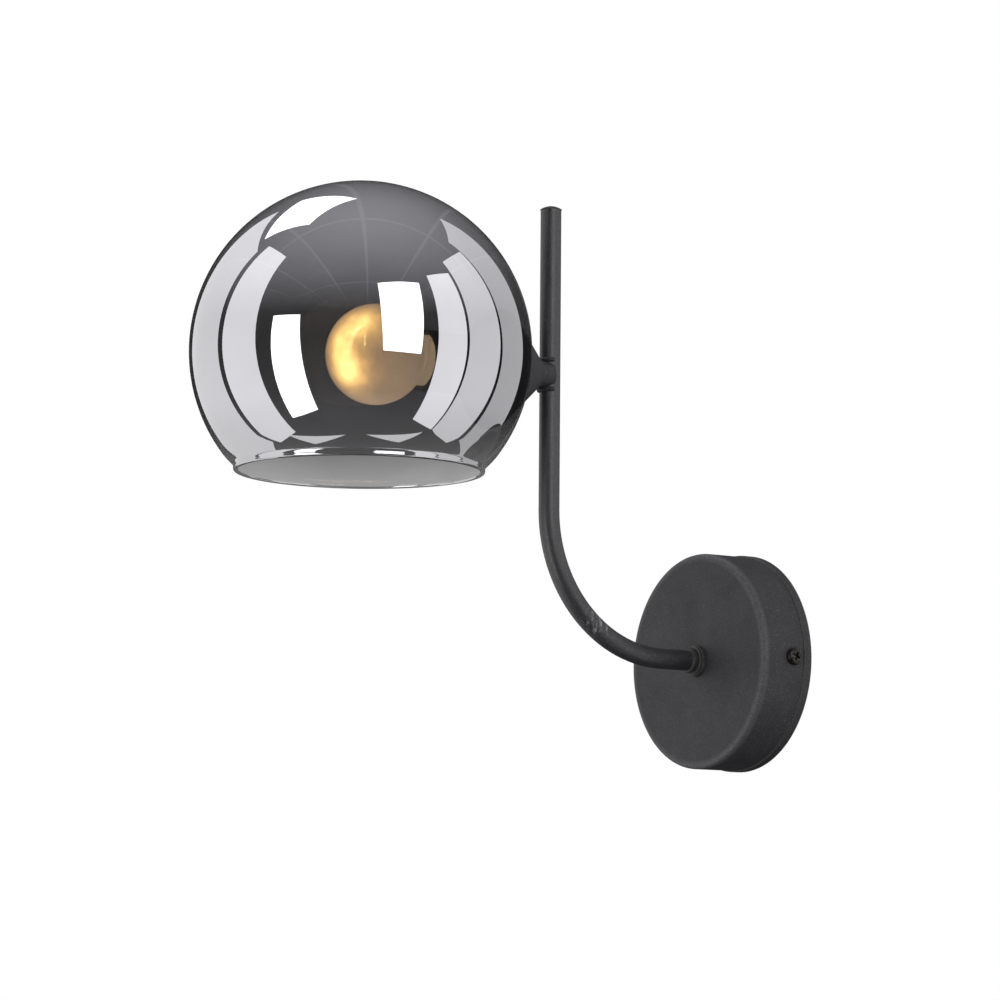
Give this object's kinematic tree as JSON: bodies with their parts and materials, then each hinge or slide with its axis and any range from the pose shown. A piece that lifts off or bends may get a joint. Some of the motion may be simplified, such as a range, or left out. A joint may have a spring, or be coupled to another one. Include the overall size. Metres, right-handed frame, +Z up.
{
  "type": "globe wall sconce",
  "caption": "Wall light: a round canopy, a bent upright tube arm, and a dark mirrored glass globe, open below, that encloses a ball lamp in a screw lampholder.",
  "frame": {"origin": "centre of the wall bracket's two slots on the wall, which is also the centre of the canopy's back rim", "axes": "+Y into the wall, so the light stands out along -Y; +Z up; +X to the right of someone facing the wall"},
  "size_m": [0.15, 0.288, 0.2545],
  "materials": {
    "zinc_steel": "bright zinc plate",
    "graphite_coat": "fine-textured matt powder coat",
    "black_coat": "satin powder coat",
    "weld_coat": "powder coat over weld bead",
    "brass": "plain brass",
    "spring_steel": "hardened, oiled",
    "white_moulding": "moulded, matt",
    "black_moulding": "moulded, satin",
    "porcelain": "glazed",
    "mirrored_glass": "clear glass with a thin dark mirror film inside",
    "opal_glass": "opal, gloss",
    "clear_glass": "clear",
    "nickel": "nickel plate",
    "solder": "tin solder",
    "phosphor": "yellow silicone over the light strip",
    "lead_brown": "insulated wire",
    "lead_blue": "insulated wire",
    "lead_green": "insulated wire, green and yellow"
  },
  "bodies": {
    "root": {"wall_bracket": "zinc_steel", "canopy_cover": "graphite_coat", "canopy_screws": "black_coat", "earth_screw": "brass", "earth_ring_terminal": "nickel", "terminal_block": "white_moulding", "terminal_clamps": "brass", "terminal_screws": "zinc_steel", "terminal_block_screw": "zinc_steel", "arm_tube": "graphite_coat", "end_cap": "graphite_coat", "stop_collar": "graphite_coat", "knurled_ring_nut": "graphite_coat", "tooth_washer": "spring_steel", "arm_earth_tag": "nickel", "canopy_nut": "zinc_steel", "tube_bush": "white_moulding", "arm_boss": "graphite_coat", "boss_welds": "weld_coat", "shade_cup": "graphite_coat", "cone_nut": "zinc_steel", "lampholder_cap": "black_moulding", "lampholder_body": "black_moulding", "lampholder_insert": "porcelain", "lampholder_shell": "brass", "lampholder_centre_contact": "brass", "lampholder_terminals": "brass", "shade_ring": "black_moulding", "live_lead": "lead_brown", "neutral_lead": "lead_blue", "earth_lead": "lead_green"},
    "globe": {"glass_globe": "mirrored_glass"},
    "lamp_travel": {"bulb_tip_contact": "solder"},
    "lamp": {"bulb_insulator": "black_moulding", "bulb_screw_shell": "nickel", "bulb_collar": "white_moulding", "bulb_envelope": "opal_glass", "bulb_stem": "clear_glass", "bulb_filament": "phosphor"}
  },
  "joints": [
    {"name": "globe_turn", "type": "hinge", "parent": "root", "child": "globe", "pos_m": [0, -0.213, 0.1255], "axis": [0, 1, 0], "continuous": true},
    {"name": "bulb_travel", "type": "slide", "parent": "root", "child": "lamp_travel", "axis": [0, -1, 0], "range_m": [0, 0.0127]},
    {"name": "bulb_unscrew", "type": "hinge", "parent": "lamp_travel", "child": "lamp", "pos_m": [0, -0.205, 0.1255], "axis": [0, -1, 0], "range_deg": [0, 1620]}
  ],
  "couplings": [
    {"joint": "bulb_travel", "follows": "bulb_unscrew", "m_per_rad": 0.00044914}
  ]
}
